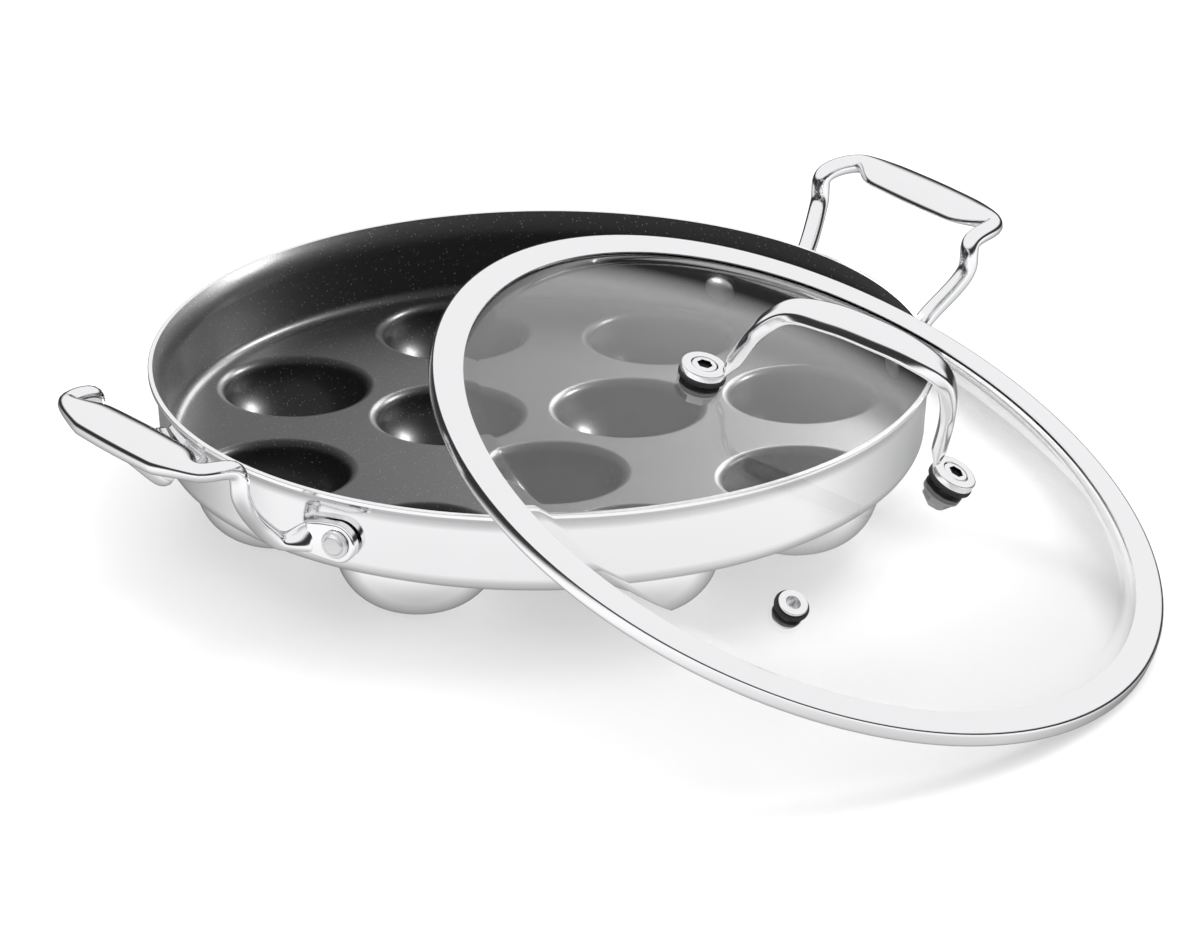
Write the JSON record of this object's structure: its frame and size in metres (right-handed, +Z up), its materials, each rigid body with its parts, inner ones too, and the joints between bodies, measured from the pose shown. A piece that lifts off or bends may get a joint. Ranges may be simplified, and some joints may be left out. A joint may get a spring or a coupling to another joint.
{
  "type": "paniyaram pan with lid",
  "caption": "Round clad-steel paniyaram pan with pressed hemispherical cups, riveted bail handles and a domed glass lid that leans off on the rim.",
  "frame": {"origin": "on the pan's axis, in the plane that its cups stand on", "axes": "+X through the right side handle, +Z up, +Y away from the leaning lid"},
  "size_m": [0.3202, 0.3585, 0.11],
  "materials": {
    "coated_pan": "speckled non-stick inside, mirror-polished outside",
    "polished_steel": "mirror polished",
    "rivet_steel": "satin",
    "lid_glass": "clear tempered",
    "silicone": "matt black"
  },
  "bodies": {
    "pan": {"pan_body": "coated_pan", "handle_left": "polished_steel", "handle_right": "polished_steel", "rivet_left_front": "rivet_steel", "rivet_left_rear": "rivet_steel", "rivet_right_front": "rivet_steel", "rivet_right_rear": "rivet_steel"},
    "lid": {"lid_glass": "lid_glass", "lid_band": "polished_steel", "lid_handle": "polished_steel", "lid_screw_upper": "polished_steel", "lid_gasket_upper": "silicone", "lid_under_gasket_upper": "silicone", "lid_washer_upper": "polished_steel", "lid_nut_upper": "polished_steel", "lid_screw_lower": "polished_steel", "lid_gasket_lower": "silicone", "lid_under_gasket_lower": "silicone", "lid_washer_lower": "polished_steel", "lid_nut_lower": "polished_steel", "vent_eyelet": "polished_steel", "vent_gasket": "silicone", "vent_under_gasket": "silicone"}
  },
  "joints": [
    {"name": "lid_lift", "type": "slide", "parent": "pan", "child": "lid", "axis": [0, 0, 1], "range_m": [0, 0.2]}
  ]
}
